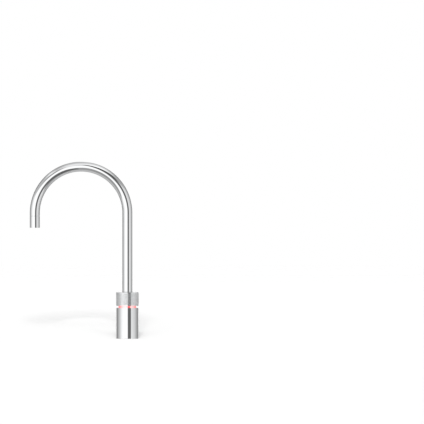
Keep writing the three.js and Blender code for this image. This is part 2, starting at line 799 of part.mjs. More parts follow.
function knurledRing() {
  const knurlZ = knobZ + KNOB_BAND;
  const knurlHeight = KNOB_HEIGHT - 2 * KNOB_BAND;
  const lowerEdge = [[0, knobZ], [knobR - EDGE, knobZ], [knobR, knobZ + EDGE]];
  const skin = turnedInSteps((column) => {
    const rows = Array.from({ length: KNURL_ROWS + 1 }, (_, row) => {
      const inside = row > 0 && row < KNURL_ROWS;
      const valley = inside && (column + row + lowerEdge.length) % 2 === 1;
      return [knobR - (valley ? KNURL_DEPTH : 0), knurlZ + (knurlHeight * row) / KNURL_ROWS];
    });
    return [...lowerEdge, ...rows, [knobR, knobTopZ - EDGE], [knobR - EDGE, knobTopZ], [0, knobTopZ]];
  }, KNURL_COLUMNS);
  const counterboreR = guideRingR + FIT;
  const hollow = turned([
    [0, knobZ - CUT_PAST],
    [knobBoreR, knobZ - CUT_PAST],
    [knobBoreR, knobWebZ],
    [SPOUT_R + RUN, knobWebZ],
    [SPOUT_R + RUN, knobTopZ - GUIDE_RING_HEIGHT - FIT],
    [counterboreR, knobTopZ - GUIDE_RING_HEIGHT - FIT],
    [counterboreR, knobTopZ + CUT_PAST],
    [0, knobTopZ + CUT_PAST],
  ]);
  return cut(skin, hollow);
}

piece("knurled_ring", knurledRing(), KNURLED_CHROME);

// The insert in the knurled ring: splined below, with room above for the clip.
function knobCarrier() {
  const topZ = knobWebZ - FIT;
  const body = turned([
    [camR + RUN, carrierZ],
    [knobBoreR - FIT, carrierZ],
    [knobBoreR - FIT, topZ],
    [clipR + FIT, topZ],
    [clipR + FIT, carrierLedgeZ],
    [camR + RUN, carrierLedgeZ],
  ]);
  const slot = block(
    [camR, splineR + RUN],
    [-SPLINE_WIDTH / 2 - RUN, SPLINE_WIDTH / 2 + RUN],
    [carrierZ - CUT_PAST, carrierLedgeZ + CUT_PAST],
  );
  return cut(body, ...around(SPLINES, slot));
}

piece("knob_carrier", knobCarrier(), WHITE_PLASTIC);

piece(
  "knob_guide_ring",
  ring(guideRingBoreR, guideRingR, knobTopZ - GUIDE_RING_HEIGHT, knobTopZ),
  BLACK_PLASTIC,
);

// ---------------------------------------------------------------- spout

piece("spout_tube", alongSpout(SPOUT_R, spoutBoreR, footZ, nozzleTopZ + SEAM, TUBE), CHROME);
piece("spout_collar", ring(collarBoreR, collarR, footZ, collarTopZ), BRASS);

piece(
  "hose_ferrule",
  ring(HOSE_R + FIT, spoutBoreR - BUSH_FIT, hoseEndZ, hoseEndZ + HOSE_END_HEIGHT, TUBE),
  BRASS,
);
piece("inner_hose", alongSpout(HOSE_R, HOSE_R - HOSE_WALL, hoseEndZ, nozzleBushZ, HOSE), SILICONE);

const sleeveZ = hoseEndZ + HOSE_END_HEIGHT + FIT;
piece(
  "insulating_sleeve",
  alongSpout(spoutBoreR - FIT, HOSE_R + FIT, sleeveZ, neckTopZ + FIT, HOSE),
  FOAM,
);

// ---------------------------------------------------------------- nozzle

const neckR = spoutBoreR - BUSH_FIT;
const neckBoreR = neckR - NECK_WALL;
const neckGrooveR = neckR - NECK_GROOVE_DEPTH;
const neckRingR = (spoutBoreR - neckGrooveR) / 2 - SNUG;
const neckGrooveWidth = 2 * (neckRingR + SNUG);
const neckGrooveZ = (nozzleTopZ + neckTopZ - neckGrooveWidth) / 2;
const pocketR = SPOUT_R - NOZZLE_WALL;

piece(
  "nozzle",
  turned([
    [pocketR, outletZ],
    [SPOUT_R - EDGE, outletZ],
    [SPOUT_R, outletZ + EDGE],
    [SPOUT_R, nozzleTopZ],
    [neckR, nozzleTopZ],
    ...grooveIn(neckR, NECK_GROOVE_DEPTH, neckGrooveZ, neckGrooveWidth),
    [neckR, neckTopZ],
    [neckBoreR, neckTopZ],
    [neckBoreR, shoulderZ],
    [pocketR, shoulderZ],
  ]),
  CHROME,
  outletAxis,
);

piece(
  "nozzle_o_ring",
  softRing((spoutBoreR + neckGrooveR) / 2, neckRingR, neckGrooveZ + neckGrooveWidth / 2),
  RUBBER,
  outletAxis,
);

piece(
  "nozzle_bush",
  ring(HOSE_R + FIT, neckBoreR - FIT, nozzleBushZ, nozzleBushZ + NOZZLE_BUSH_HEIGHT, SMALL),
  WHITE_PLASTIC,
  outletAxis,
);

// A disc with a hexagonal pattern of straight holes.
function flowStraightener() {
  const shape = new THREE.Shape(circle(pocketR - FIT, PLAIN));
  const n = STRAIGHTENER_RINGS;
  for (let q = -n; q <= n; q++) {
    for (let r = Math.max(-n, -n - q); r <= Math.min(n, n - q); r++) {
      const x = STRAIGHTENER_PITCH * (q + r / 2);
      const y = (STRAIGHTENER_PITCH * r * Math.sqrt(3)) / 2;
      shape.holes.push(new THREE.Path(circle(STRAIGHTENER_HOLE_R, 6, x, y)));
    }
  }
  const options = { depth: STRAIGHTENER_HEIGHT, bevelEnabled: false };
  return new THREE.ExtrudeGeometry(shape, options).translate(0, 0, straightenerZ);
}

piece("flow_straightener", flowStraightener(), BLACK_PLASTIC, outletAxis);

// ---------------------------------------------------------------- below the worktop

piece(
  "threaded_shank",
  turnedInSteps(
    (step) => [
      [shankBoreR, -SHANK_BELOW],
      ...threadPoints(shankR, SHANK_PITCH, -SHANK_BELOW, -SHANK_PLAIN, step / PLAIN),
      [shankR, -SHANK_PLAIN],
      [shankR, shankTopZ],
      [shankBoreR, shankTopZ],
    ],
    PLAIN,
  ),
  BRASS,
);
piece("clamp_gasket", ring(shankR + FIT, CLAMP_R, -WORKTOP - CLAMP_GASKET_HEIGHT, -WORKTOP), RUBBER);
piece(
  "clamp_washer",
  ring(shankR + FIT, CLAMP_R, clampWasherTopZ - CLAMP_WASHER_HEIGHT, clampWasherTopZ),
  STEEL,
);
piece(
  "fixing_nut",
  cut(
    hexPrism(NUT_FLATS, nutTopZ - NUT_HEIGHT, nutTopZ),
    rod(shankR + FIT, nutTopZ - NUT_HEIGHT - CUT_PAST, nutTopZ + CUT_PAST, PLAIN),
  ),
  BRASS,
);

// The bush plugs the shank's lower end, round the inlet pipe, and lets the light's cable out.
function shankBush() {
  const flangeTopZ = -SHANK_BELOW - FIT;
  const flangeZ = flangeTopZ - SHANK_BUSH_FLANGE;
  const topZ = -SHANK_BELOW + SHANK_BUSH_HEIGHT;
  const flangeR = (shankR + shankBoreR) / 2;
  const body = turned([
    [PIPE_R + FIT, flangeZ],
    [flangeR, flangeZ],
    [flangeR, flangeTopZ],
    [shankBoreR - FIT, flangeTopZ],
    [shankBoreR - FIT, topZ],
    [PIPE_R + FIT, topZ],
  ]);
  const cableY = (PIPE_R + shankBoreR) / 2;
  return cut(body, rod(CABLE_R, flangeZ - CUT_PAST, topZ + CUT_PAST).translate(0, cableY, 0));
}

piece("shank_bush", shankBush(), RUBBER);

const pipeBoreR = PIPE_R - PIPE_WALL;
piece("inlet_pipe", ring(pipeBoreR, PIPE_R, pipeEndZ, pipeSocketTopZ - FIT, SMALL), STEEL);

const nippleThread = turnedInSteps(
  (step) => [
    [pipeBoreR, nippleEndZ],
    ...threadPoints(NIPPLE_R, NIPPLE_PITCH, nippleEndZ, nippleHexZ + CUT_PAST, step / TUBE),
    [pipeBoreR, nippleHexZ + CUT_PAST],
  ],
  TUBE,
);
piece(
  "inlet_nipple",
  cut(
    joined(hexPrism(NIPPLE_FLATS, nippleHexZ, nippleTopZ), nippleThread),
    rod(PIPE_R + FIT, pipeEndZ - FIT, nippleTopZ + CUT_PAST),
    rod(pipeBoreR, nippleEndZ - CUT_PAST, pipeEndZ),
  ),
  BRASS,
);

export default tap;
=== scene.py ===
import json
import math

import bmesh
import bpy
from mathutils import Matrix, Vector


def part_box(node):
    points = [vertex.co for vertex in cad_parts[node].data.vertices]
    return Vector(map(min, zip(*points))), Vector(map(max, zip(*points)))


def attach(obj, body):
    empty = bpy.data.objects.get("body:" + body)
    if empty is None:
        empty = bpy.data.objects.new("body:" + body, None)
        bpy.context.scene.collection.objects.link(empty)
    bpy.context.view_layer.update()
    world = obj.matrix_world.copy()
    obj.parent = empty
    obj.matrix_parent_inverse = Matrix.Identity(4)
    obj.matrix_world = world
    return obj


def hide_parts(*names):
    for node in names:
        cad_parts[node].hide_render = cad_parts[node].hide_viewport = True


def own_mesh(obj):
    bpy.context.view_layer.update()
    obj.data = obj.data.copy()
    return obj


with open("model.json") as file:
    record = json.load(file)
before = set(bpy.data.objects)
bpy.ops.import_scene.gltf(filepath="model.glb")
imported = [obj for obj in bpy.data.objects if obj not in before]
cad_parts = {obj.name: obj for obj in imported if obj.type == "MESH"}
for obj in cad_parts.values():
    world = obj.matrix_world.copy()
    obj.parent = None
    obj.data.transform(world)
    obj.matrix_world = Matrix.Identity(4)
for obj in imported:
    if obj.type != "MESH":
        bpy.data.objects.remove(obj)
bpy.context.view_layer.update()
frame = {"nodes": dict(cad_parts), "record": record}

# The looks of a boiling water tap. A fine mesh stands for each piece: most are turned, swept,
# wound, threaded, knurled or perforated here, and the others have the CAD shape with smooth round
# sides. Every piece gets a procedural finish by the record's material slot.
#
# Sizes are in millimetres, in the CAD model's frame: +Z up, the origin on the tap's axis at the
# worktop's surface, and the spout reaching along -X.

MM = 0.001
TAU = 2 * math.pi

# ---------------------------------------------------------------- sizes

ROUND_SIDES = 96  # facets round a turned or threaded piece

SPOUT_R = 7.3
SPOUT_BORE_R = 6.1
SPOUT_FOOT_Z = 31.3
SPOUT_END_Z = 177.6  # on the outlet's leg
ARCH_R = 67
ARCH_Z = 182
OUTLET_X = -2 * ARCH_R
ARCH_LENGTH = math.pi * ARCH_R

HOSE_R = 3
HOSE_BORE_R = 2
HOSE_FOOT_Z = 53.9
HOSE_END_Z = 168.6
SLEEVE_R = 5.8
SLEEVE_BORE_R = 3.3
SLEEVE_FOOT_Z = 60.2
SLEEVE_END_Z = 181.5

OUTLET_Z = 160.5
NOZZLE_TOP_Z = 177.4
NOZZLE_POCKET_R = 5.8
NOZZLE_SHOULDER_Z = 167.6
NECK_R = 5.95
NECK_BORE_R = 4.75
NECK_TOP_Z = 181.2
NECK_GROOVE_R = 5.35
NECK_GROOVE_Z = (178.93, 179.67)

STRAIGHTENER_R = 5.5
STRAIGHTENER_Z = (161.3, 167.3)
STRAIGHTENER_HOLE_R = 0.75
STRAIGHTENER_PITCH = 2.05
STRAIGHTENER_RINGS = 2

CASING_R = 16
CASING_BORE_R = 14.2
CASING_TOP_Z = 44.6
LIP_R = 13.2
LIP_Z = 42.6

LIGHT_BORE_R = 11.2
LIGHT_R = 12.9
LIGHT_FLANGE_R = 13.9
LIGHT_Z = 41
LIGHT_FLANGE_TOP_Z = 42.3
LIGHT_TOP_Z = 50

KNOB_R = 16.35
KNOB_Z = 47.6
KNOB_TOP_Z = 67
KNOB_WEB_Z = 64.8
KNOB_BORE_R = 13.3
KNOB_HOLE_R = 7.7
KNOB_COUNTERBORE_R = 8.8
KNOB_COUNTERBORE_Z = 65.5
KNURL_BAND = 0.9  # plain band above and below the knurl
KNURL_DEPTH = 0.22
KNURL_DIAMONDS = 72
KNURL_ROWS = 12
KNURL_FLAT = 0.66  # share of each diamond that stays flat on top
KNURL_Z = (KNOB_Z + KNURL_BAND, KNOB_TOP_Z - KNURL_BAND)
KNURL_HEIGHT = KNURL_Z[1] - KNURL_Z[0]
KNURL_VALLEY_R = KNOB_R - KNURL_DEPTH

RETURN_SPRING = {"mean_r": 10.15, "wire": 0.9, "turns": 4.5, "z0": 43.5, "z1": 52.6}
VALVE_SPRING = {"mean_r": 2.25, "wire": 0.5, "turns": 4, "z0": 12.3, "z1": 17.2, "x": 10}
PUSH_TRAVEL = 2.5
VALVE_TRAVEL = 1.5

SHANK_R = 12
SHANK_BORE_R = 9.5
SHANK_Z = (-62, 10)
SHANK_PLAIN_Z = -1.5  # no thread above this
SHANK_PITCH = 2
THREAD_DEPTH = 0.75

NUT_FLATS = 32
NUT_BORE_R = 12.1
NUT_CHAMFER = 0.6
NUT_Z = (-43.6, -35.6)

NIPPLE_FLATS = 19
NIPPLE_Z = (-94, -80)
NIPPLE_HEX_Z = -86
NIPPLE_R = 8.3
NIPPLE_PITCH = 1.34
NIPPLE_BORE_R = 2.4
NIPPLE_SOCKET_R = 4.3
NIPPLE_SOCKET_Z = -84.3

# Plain rings, by the radius of their bore. The rest of each comes from its CAD node's box.
RING_BORES = {
    "base_gasket": 12.3,
    "base_ring": 12.3,
    "gland_bush": 1.3,
    "valve_seal": 1.1,
    "lower_bush": 5.15,
    "upper_bush": 5.15,
    "thrust_washer": 5.3,
    "light_board": 11.2,
    "spring_washer": 9.5,
    "knob_guide_ring": 7.6,
    "spout_collar": 7.6,
    "hose_ferrule": 3.3,
    "nozzle_bush": 3.3,
    "clamp_gasket": 12.3,
    "clamp_washer": 12.3,
    "inlet_pipe": 2.4,
}
# O-rings, by the radius of their section.
O_RING_SECTIONS = {
    "gland_o_ring": 0.55,
    "riser_o_ring_lower": 0.75,
    "riser_o_ring_upper": 0.75,
    "nozzle_o_ring": 0.275,
}
O_RING_FACETS = 16

# The photograph's frame, in millimetres at the tap.
VIEW_CENTRE = (122.6, 0, 183.3)
VIEW_HALF_WIDTH = 307
VIEW_HALF_ANGLE = math.radians(0.9)
VIEW_ELEVATION = math.radians(0.8)

# The floor, in metres: a square just under the worktop's surface. Behind the tap it fades out
# between these two distances.
FLOOR_HALF = 6
FLOOR_Z = -0.0001
FLOOR_FADE = (3, 5.8)

# Brightness, where 1 is white.
PAPER = 0.6  # the floor's own
SOFT_LIGHT = 0.5  # the even light that matt surfaces get
SHADE = 0.12  # the least that polished metal reflects from below the softboxes

# ---------------------------------------------------------------- meshes


def mesh_object(name, points, faces, crease=30):
    """A closed mesh from points in millimetres. Points that coincide become one."""
    mesh = bpy.data.meshes.new(name)
    mesh.from_pydata([[c * MM for c in p] for p in points], [], faces)
    bm = bmesh.new()
    bm.from_mesh(mesh)
    bmesh.ops.remove_doubles(bm, verts=bm.verts, dist=1e-6)
    bmesh.ops.dissolve_degenerate(bm, edges=bm.edges, dist=1e-7)
    bmesh.ops.delete(bm, geom=[v for v in bm.verts if not v.link_faces], context="VERTS")
    bmesh.ops.recalc_face_normals(bm, faces=bm.faces)
    bm.to_mesh(mesh)
    bm.free()
    mesh.shade_smooth()
    mesh.set_sharp_from_angle(angle=math.radians(crease))
    obj = bpy.data.objects.new(name, mesh)
    bpy.context.scene.collection.objects.link(obj)
    return obj


def grid(columns, rows, closed_rows=True, first=0, closed_columns=True):
    """Quads between columns of points, each with its rows of points. Closed ones go once round."""
    faces = []
    for c in range(columns if closed_columns else columns - 1):
        for r in range(rows if closed_rows else rows - 1):
            here, there = first + c * rows, first + (c + 1) % columns * rows
            faces.append((here + r, there + r, there + (r + 1) % rows, here + (r + 1) % rows))
    return faces


def rounded(outline, radius=0.3, steps=3, closed=True):
    """An outline with each corner rounded, by less where an edge beside it is short."""
    points = []
    for i, corner in enumerate(outline):
        if not closed and i in (0, len(outline) - 1):
            points.append(corner)
            continue
        corner = Vector(corner)
        back = Vector(outline[i - 1]) - corner
        ahead = Vector(outline[(i + 1) % len(outline)]) - corner
        reach = min(radius, 0.45 * back.length, 0.45 * ahead.length)
        start = corner + back.normalized() * reach
        end = corner + ahead.normalized() * reach
        for step in range(steps + 1):
            t = step / steps
            points.append(tuple((1 - t) ** 2 * start + 2 * t * (1 - t) * corner + t * t * end))
    return points


def turned(name, outline_at, sides=ROUND_SIDES, x=0, closed=True, extra=((), ())):
    """Turns an outline of (radius, height) round the Z axis. outline_at(angle) gives its points,
    and extra is a mesh that it joins, as points and faces."""
    points, faces = list(extra[0]), list(extra[1])
    first = len(points)
    for i in range(sides):
        angle = TAU * i / sides
        outline = outline_at(angle)
        points += [(x + r * math.cos(angle), r * math.sin(angle), z) for r, z in outline]
    return mesh_object(name, points, faces + grid(sides, len(outline), closed, first))


def turned_ring(name, bore_r, outer_r, z0, z1, x=0, edge=0.25):
    outline = rounded([(bore_r, z0), (outer_r, z0), (outer_r, z1), (bore_r, z1)], edge)
    return turned(name, lambda angle: outline, x=x)


def spout_place(length):
    """The point on the spout's centre line this far up from the worktop along it, and the line's
    outward side there."""
    angle = min(max((length - ARCH_Z) / ARCH_R, 0), math.pi)
    straight = min(length - ARCH_Z, 0) - max(length - ARCH_Z - ARCH_LENGTH, 0)
    side = Vector((math.cos(angle), 0, math.sin(angle)))
    return Vector((-ARCH_R, 0, ARCH_Z + straight)) + ARCH_R * side, side


def along_spout(name, radius, bore_r, foot_z, end_z, sides=64, steps=96, edge=0.1):
    """A tube along the spout's centre line, from a height on the riser's leg to one on the
    outlet's. Its outline is of (length along the line, radius)."""
    end = ARCH_Z + ARCH_LENGTH + ARCH_Z - end_z
    corners = rounded([(foot_z, bore_r), (foot_z, radius), (end, radius), (end, bore_r)], edge)
    bends = [ARCH_Z + ARCH_LENGTH * i / steps for i in range(steps + 1)]
    half = len(corners) // 2
    loop = corners[:half] + [(s, radius) for s in bends]
    loop += corners[half:] + [(s, bore_r) for s in reversed(bends)]
    points = []
    for i in range(sides):
        angle = TAU * i / sides
        for s, r in loop:
            centre, side = spout_place(s)
            outward = math.cos(angle) * side + math.sin(angle) * Vector((0, 1, 0))
            points.append(centre + r * outward)
    return mesh_object(name, points, grid(sides, len(loop)))


def coil(name, mean_r, wire, turns, z0, z1, x=0, sides=12, per_turn=48):
    """A compression spring of round wire, with its first and last turn wound close."""
    lowest, highest = z0 + wire / 2, z1 - wire / 2
    pitch = (highest - lowest - 2 * wire) / (turns - 2)
    count = round(turns * per_turn)
    points = []
    for i in range(count + 1):
        turn = i / per_turn
        open_turns = min(max(turn - 1, 0), turns - 2)
        z = lowest + wire * (turn - open_turns) + pitch * open_turns
        angle = TAU * turn
        radial = Vector((math.cos(angle), math.sin(angle), 0))
        centre = Vector((x, 0, z)) + mean_r * radial
        rise = (pitch if 1 < turn < turns - 1 else wire) / TAU
        along = Vector((-mean_r * math.sin(angle), mean_r * math.cos(angle), rise)).normalized()
        upward = along.cross(radial)
        for k in range(sides):
            a = TAU * k / sides
            points.append(centre + wire / 2 * (math.cos(a) * radial + math.sin(a) * upward))
    ends = [tuple(range(sides)), tuple(range(count * sides, (count + 1) * sides))]
    return mesh_object(name, points, ends + grid(count + 1, sides, closed_columns=False))


def thread(crest_r, pitch, z0, z1, sides=ROUND_SIDES):
    """The skin of a screw thread as points and faces. It runs out to its root at both ends."""
    root_r = crest_r - THREAD_DEPTH
    # The two ends of its flat root and of its flat crest, each with its share of the pitch.
    profile = [(0, root_r), (0.15, root_r), (0.45, crest_r), (0.7, crest_r)]
    last = len(profile) - 1
    count = math.ceil(sides * ((z1 - z0) / pitch + 2))
    points = []
    for i in range(count):
        angle = TAU * i / sides
        for share, r in profile:
            z = z0 + pitch * (i / sides + share - 1)
            if not z0 < z < z1:
                z, r = min(max(z, z0), z1), root_r
            points.append((r * math.cos(angle), r * math.sin(angle), z))
    faces = []
    turn = sides * len(profile)
    for i in range(count - 1):
        here, there = i * len(profile), (i + 1) * len(profile)
        faces += [(here + k, there + k, there + k + 1, here + k + 1) for k in range(last)]
        if there + turn < len(points):
            faces.append((here + last, there + last, there + turn, here + turn))
    return points, faces


def hexagon(flats, z0, z1, chamfer=30):
    """The outer side of a hexagon this wide over its flats, as a function of the angle. Its corners
    are chamfered by this many degrees."""
    chamfer_r = 0.49 * flats  # just inside the flats

    def side(angle):
        from_flat = (math.degrees(angle) + 30) % 60 - 30
        r = flats / 2 / math.cos(math.radians(from_flat))
        drop = (r - chamfer_r) * math.tan(math.radians(chamfer))
        return [(chamfer_r, z0), (r, z0 + drop), (r, z1 - drop), (chamfer_r, z1)]

    return side


def knurl():
    """The knob's skin as points and faces: pyramids with flat tops, between its plain bands."""
    columns, rows = 2 * KNURL_DIAMONDS, 2 * KNURL_ROWS

    def place(column, row, r):
        angle = TAU * column / columns
        return (r * math.cos(angle), r * math.sin(angle), KNURL_Z[0] + KNURL_HEIGHT * row / rows)

    def crossing(column, row):
        return column % columns * (rows + 1) + row

    points = [place(i, j, KNURL_VALLEY_R) for i in range(columns) for j in range(rows + 1)]
    faces = []
    for i in range(columns):
        for j in range((i + 1) % 2, rows + 1, 2):
            if j in (0, rows):
                # Half a diamond beside a plain band stays as low as the valleys.
                inner = 1 if j == 0 else rows - 1
                half = [(i - 1, j), (i, j), (i + 1, j), (i, inner)]
                faces.append([crossing(*c) for c in half])
                continue
            around = [(i - 1, j), (i, j - 1), (i + 1, j), (i, j + 1)]
            base = [crossing(*c) for c in around]
            top = list(range(len(points), len(points) + 4))
            for c, r in around:
                points.append(place(i + KNURL_FLAT * (c - i), j + KNURL_FLAT * (r - j), KNOB_R))
            faces.append(top)
            faces += [(base[k], base[(k + 1) % 4], top[(k + 1) % 4], top[k]) for k in range(4)]
    return points, faces


def perforated_disc(name, radius, z0, z1, x, ease=0.12, rim_sides=64, hole_sides=20):
    """A disc with a hexagonal pattern of round holes with eased rims."""
    curve = bpy.data.curves.new(name, "CURVE")
    curve.dimensions = "2D"
    curve.fill_mode = "BOTH"
    curve.bevel_depth = ease * MM
    curve.extrude = ((z1 - z0) / 2 - ease) * MM
    n = STRAIGHTENER_RINGS
    circles = [(0, 0, radius - ease, rim_sides)]
    for q in range(-n, n + 1):
        for r in range(max(-n, -n - q), min(n, n - q) + 1):
            place = (STRAIGHTENER_PITCH * (q + r / 2), STRAIGHTENER_PITCH * r * math.sqrt(3) / 2)
            circles.append((*place, STRAIGHTENER_HOLE_R + ease, hole_sides))
    for cx, cy, r, sides in circles:
        spline = curve.splines.new("POLY")
        spline.points.add(sides - 1)
        spline.use_cyclic_u = True
        for i, point in enumerate(spline.points):
            angle = TAU * i / sides
            point.co = ((cx + r * math.cos(angle)) * MM, (cy + r * math.sin(angle)) * MM, 0, 1)
    source = bpy.data.objects.new(name, curve)
    mesh = bpy.data.meshes.new_from_object(source)
    bpy.data.objects.remove(source)
    points = [(v.co.x / MM + x, v.co.y / MM, v.co.z / MM + (z0 + z1) / 2) for v in mesh.vertices]
    return mesh_object(name, points, [tuple(f.vertices) for f in mesh.polygons])


# ---------------------------------------------------------------- finishes

NOISE_SPAN = (0.3, 0.7)  # where soft noise mostly lies


def add_node(tree, kind, inputs=(), **settings):
    """A shader node with these settings. An input, by name or number, is a value or a socket."""
    node = tree.nodes.new("ShaderNode" + kind)
    for name, value in settings.items():
        setattr(node, name, value)
    for socket, value in dict(inputs).items():
        if isinstance(value, bpy.types.NodeSocket):
            tree.links.new(value, node.inputs[socket])
        else:
            node.inputs[socket].default_value = value
    return node


def colour_ramp(tree, value, stops):
    """The colour between (position, colour) stops at a value from 0 to 1."""
    ramp = add_node(tree, "ValToRGB", {"Fac": value})
    elements = ramp.color_ramp.elements
    while len(elements) < len(stops):
        elements.new(0.5)
    for element, (position, colour) in zip(elements, stops):
        element.position = position
        element.color = (*colour, 1)
    return ramp.outputs["Color"]


class Look:
    """A material, built from nodes on the piece's own coordinates."""

    def __init__(self, name, **sockets):
        self.material = bpy.data.materials.new(name)
        self.material.use_nodes = True
        self.tree = self.material.node_tree
        self.shader = self.tree.nodes["Principled BSDF"]
        for socket, value in sockets.items():
            self.shader.inputs[socket.replace("_", " ")].default_value = value
        self.place = self.node("TexCoord").outputs["Object"]

    def node(self, kind, inputs=()):
        return add_node(self.tree, kind, inputs)

    def feed(self, socket, value):
        self.tree.links.new(value, self.shader.inputs[socket])

    def stretched(self, stretch):
        inputs = {"Vector": self.place, "Scale": stretch}
        return self.node("Mapping", inputs).outputs["Vector"]

    def noise(self, scale, stretch=(1, 1, 1), detail=3):
        """Soft noise with this many lumps in a metre."""
        inputs = {"Vector": self.stretched(stretch), "Scale": scale, "Detail": detail}
        return self.node("TexNoise", inputs).outputs["Fac"]

    def spread(self, value, low, high, span=NOISE_SPAN):
        """Goes from low to high while the value goes over the span."""
        inputs = {"Value": value, "To Min": low, "To Max": high}
        inputs["From Min"], inputs["From Max"] = span
        return self.node("MapRange", inputs).outputs["Result"]

    def tint(self, value, *stops):
        return colour_ramp(self.tree, value, stops)

    def two_tone(self, noise, dark, light):
        self.feed("Base Color", self.tint(noise, *zip(NOISE_SPAN, (dark, light))))

    def relief(self, height, strength, depth):
        """Bumps of this depth in millimetres."""
        inputs = {"Height": height, "Strength": strength, "Distance": depth * MM}
        self.feed("Normal", self.node("Bump", inputs).outputs["Normal"])


def polished_chrome():
    look = Look("polished_chrome", Metallic=1)
    look.two_tone(look.noise(30), (0.88, 0.89, 0.9), (0.93, 0.935, 0.94))
    wear = look.noise(160, stretch=(1, 1, 0.3), detail=4)
    look.feed("Roughness", look.spread(wear, 0.02, 0.055))
    waves = look.noise(60, stretch=(1, 1, 0.5), detail=2)
    look.relief(waves, strength=0.1, depth=0.02)
    return look


def knurled_chrome():
    look = Look("knurled_chrome", Metallic=0.94)
    look.two_tone(look.noise(900, detail=2), (0.84, 0.85, 0.86), (0.92, 0.925, 0.93))
    look.feed("Roughness", look.spread(look.noise(1500), 0.08, 0.16))
    look.relief(look.noise(4000, detail=2), strength=0.15, depth=0.01)
    return look


def lit_plastic():
    look = Look("lit_plastic", Metallic=0.9, Emission_Strength=0.85)
    look.two_tone(look.noise(120), (0.9, 0.86, 0.86), (0.96, 0.93, 0.93))
    look.feed("Roughness", look.spread(look.noise(700), 0.03, 0.07))
    height = look.node("SeparateXYZ", {"Vector": look.place}).outputs["Z"]
    glow = look.spread(height, 0, 1, span=(LIGHT_Z * MM, LIGHT_TOP_Z * MM))
    look.feed("Emission Color", look.tint(glow, (0, (1, 0.02, 0.012)), (1, (0.85, 0.008, 0.006))))
    return look


def led():
    look = Look("led", Roughness=0.25, Coat_Weight=0.6, Emission_Strength=3.0)
    look.two_tone(look.noise(3000), (0.8, 0.7, 0.4), (0.95, 0.88, 0.6))
    glow = zip(NOISE_SPAN, ((1, 0.01, 0.005), (1, 0.05, 0.03)))
    look.feed("Emission Color", look.tint(look.noise(900), *glow))
    return look


def brass():
    look = Look("brass", Metallic=1)
    look.two_tone(look.noise(140), (0.66, 0.46, 0.19), (0.8, 0.6, 0.29))
    turning = look.noise(260, stretch=(0.2, 0.2, 14), detail=2)
    look.feed("Roughness", look.spread(turning, 0.2, 0.38))
    look.relief(turning, strength=0.25, depth=0.02)
    return look


def steel():
    look = Look("steel", Metallic=1, Anisotropic=0.4)
    look.two_tone(look.noise(200), (0.52, 0.53, 0.54), (0.66, 0.67, 0.68))
    drawn = look.noise(300, stretch=(1, 1, 12))
    look.feed("Roughness", look.spread(drawn, 0.2, 0.34))
    look.relief(drawn, strength=0.2, depth=0.015)
    return look


def moulded(name, dark, light, roughness, grain, **sockets):
    look = Look(name, **sockets)
    look.two_tone(look.noise(220), dark, light)
    look.feed("Roughness", look.spread(look.noise(1200), *roughness))
    look.relief(look.noise(grain, detail=2), strength=0.35, depth=0.03)
    return look


def rubber():
    return moulded(
        "rubber",
        dark=(0.016, 0.016, 0.018),
        light=(0.034, 0.034, 0.036),
        roughness=(0.6, 0.8),
        grain=2600,
    )


def silicone():
    return moulded(
        "silicone",
        dark=(0.7, 0.66, 0.58),
        light=(0.8, 0.77, 0.7),
        roughness=(0.4, 0.6),
        grain=1500,
        Subsurface_Weight=0.3,
        Subsurface_Scale=0.002,
    )


def black_plastic():
    return moulded(
        "black_plastic",
        dark=(0.014, 0.014, 0.016),
        light=(0.028, 0.028, 0.03),
        roughness=(0.35, 0.5),
        grain=3200,
    )


def white_plastic():
    return moulded(
        "white_plastic",
        dark=(0.76, 0.76, 0.73),
        light=(0.84, 0.84, 0.81),
        roughness=(0.32, 0.46),
        grain=3200,
        Subsurface_Weight=0.12,
        Subsurface_Scale=0.001,
    )


def foam():
    look = Look("foam")
    cells = look.node("TexVoronoi", {"Vector": look.place, "Scale": 1600}).outputs["Distance"]
    look.feed("Base Color", look.tint(cells, (0, (0.16, 0.165, 0.175)), (0.6, (0.3, 0.305, 0.32))))
    look.feed("Roughness", look.spread(look.noise(800), 0.8, 0.95))
    look.relief(cells, strength=0.6, depth=0.15)
    return look


def circuit_board():
    look = Look("circuit_board", Coat_Weight=0.4)
    lines = look.node("TexBrick", {"Vector": look.place, "Scale": 260, "Mortar Size": 0.06})
    traces = lines.outputs["Fac"]
    colours = ((0, (0.012, 0.09, 0.04)), (0.5, (0.02, 0.14, 0.06)), (1, (0.45, 0.36, 0.14)))
    look.feed("Base Color", look.tint(traces, *colours))
    look.feed("Roughness", look.spread(look.noise(900), 0.3, 0.45))
    look.relief(traces, strength=0.4, depth=0.03)
    return look


FINISHES = (
    polished_chrome, knurled_chrome, lit_plastic, led, brass, steel,
    rubber, silicone, foam, black_plastic, white_plastic, circuit_board,
)
looks = {finish.__name__: finish().material for finish in FINISHES}
bodies = {n: body for body, nodes in frame["record"]["behaviour"]["bodies"].items() for n in nodes}
slots = {part["node"]: part["material_slot"] for part in frame["record"]["subparts"]}

for name, obj in frame["nodes"].items():
    obj.data.materials.clear()
    obj.data.materials.append(looks[slots[name]])


def dress(node, make, *sizes, **settings):
    """Makes a piece that stands for a CAD node: it rides on its body and has its finish."""
    obj = make("fine_" + node, *sizes, **settings)
    obj.data.materials.append(looks[slots[node]])
    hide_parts(node)
    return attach(obj, bodies[node])


def turned_from(outline, radius=0.3, x=0):
    """What dress() makes a turned piece with, from a closed outline of (radius, height)."""
    smooth = rounded(outline, radius)
    return lambda name: turned(name, lambda angle: smooth, x=x)


# ---------------------------------------------------------------- casing, light and knob

dress(
    "casing",
    turned_from(
        [
            (CASING_BORE_R, 0),
            (CASING_R, 0),
            (CASING_R, CASING_TOP_Z),
            (LIP_R, CASING_TOP_Z),
            (LIP_R, LIP_Z),
            (CASING_BORE_R, LIP_Z),
        ],
        radius=0.2,
    ),
)

